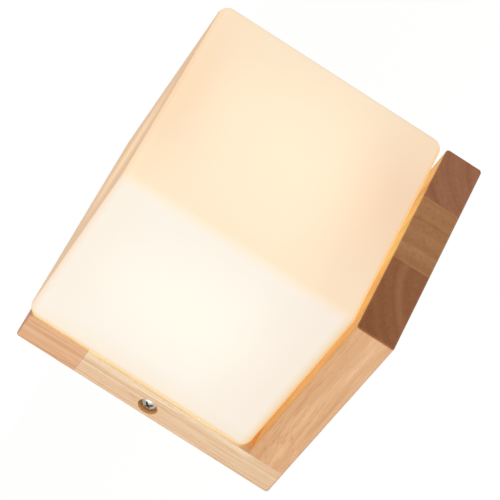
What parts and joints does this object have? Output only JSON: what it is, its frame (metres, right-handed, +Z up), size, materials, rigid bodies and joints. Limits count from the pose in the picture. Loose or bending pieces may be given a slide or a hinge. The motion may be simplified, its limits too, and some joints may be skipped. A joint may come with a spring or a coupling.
{
  "type": "wall sconce",
  "caption": "Wall sconce: an opal glass cube, lit from inside, set in the corner of an L of two pale wooden boards.",
  "frame": {"origin": "on the wall plane, midway between the two slots of the wall bracket, behind the middle of the back board", "axes": "+Y towards the wall, +Z up, +X to the right seen from the room"},
  "size_m": [0.113, 0.133, 0.132],
  "materials": {
    "wood": "satin lacquer over pale glued rubberwood",
    "beech": "bare",
    "zinc_steel": "zinc plated",
    "nickel": "bright nickel",
    "spring_steel": "bright spring steel",
    "brass": "bare brass",
    "tinned_copper": "tinned",
    "black_rubber": "matt",
    "bush_plastic": "moulded",
    "clear_plastic": "milky moulded",
    "brown_lead": "silicone insulation",
    "blue_lead": "silicone insulation",
    "earth_lead": "green and yellow insulation",
    "white_enamel": "white enamel",
    "ceramic": "glazed ceramic",
    "opal_glass": "satin etched opal, lit from inside",
    "lamp_base_plastic": "moulded",
    "lamp_cover_plastic": "opal, lit",
    "led_post_white": "white solder mask",
    "led_phosphor": "phosphor, lit"
  },
  "bodies": {
    "fixed_body": {"back_board": "wood", "shelf_board": "wood", "shelf_dowels": "beech", "shelf_screws": "zinc_steel", "wall_bracket": "zinc_steel", "fitter_screws": "zinc_steel", "lampholder_strap": "zinc_steel", "lampholder_screws": "zinc_steel", "terminal_fixing_screws": "zinc_steel", "earth_washer": "zinc_steel", "spring_clips": "spring_steel", "earth_stud": "brass", "earth_nut": "brass", "terminal_barrels": "brass", "terminal_clamp_screws": "brass", "lampholder_contacts": "brass", "plate_earth_screw": "brass", "earth_tags": "tinned_copper", "cable_bush": "black_rubber", "lead_bush": "bush_plastic", "terminal_block": "clear_plastic", "live_lead": "brown_lead", "neutral_lead": "blue_lead", "bracket_earth_lead": "earth_lead", "plate_earth_lead": "earth_lead", "fitter_plate": "white_enamel", "lampholder_body": "ceramic"},
    "shade": {"glass_shade": "opal_glass"},
    "lamp": {"lamp_base": "lamp_base_plastic", "lamp_pins": "tinned_copper", "lamp_cover": "lamp_cover_plastic", "lamp_led_post": "led_post_white", "lamp_leds": "led_phosphor"},
    "left_screw": {"side_screw_left": "nickel"},
    "right_screw": {"side_screw_right": "nickel"}
  },
  "joints": [
    {"name": "shade_pull_off", "type": "slide", "parent": "fixed_body", "child": "shade", "axis": [0, -1, 0], "range_m": [0, 0.12], "deforming": ["spring_clips"]},
    {"name": "lamp_pull_out", "type": "slide", "parent": "fixed_body", "child": "lamp", "axis": [0, -1, 0], "range_m": [0, 0.02]},
    {"name": "left_screw_out", "type": "slide", "parent": "fixed_body", "child": "left_screw", "axis": [-1, 0, 0], "range_m": [0, 0.022]},
    {"name": "right_screw_out", "type": "slide", "parent": "fixed_body", "child": "right_screw", "axis": [1, 0, 0], "range_m": [0, 0.022]}
  ]
}
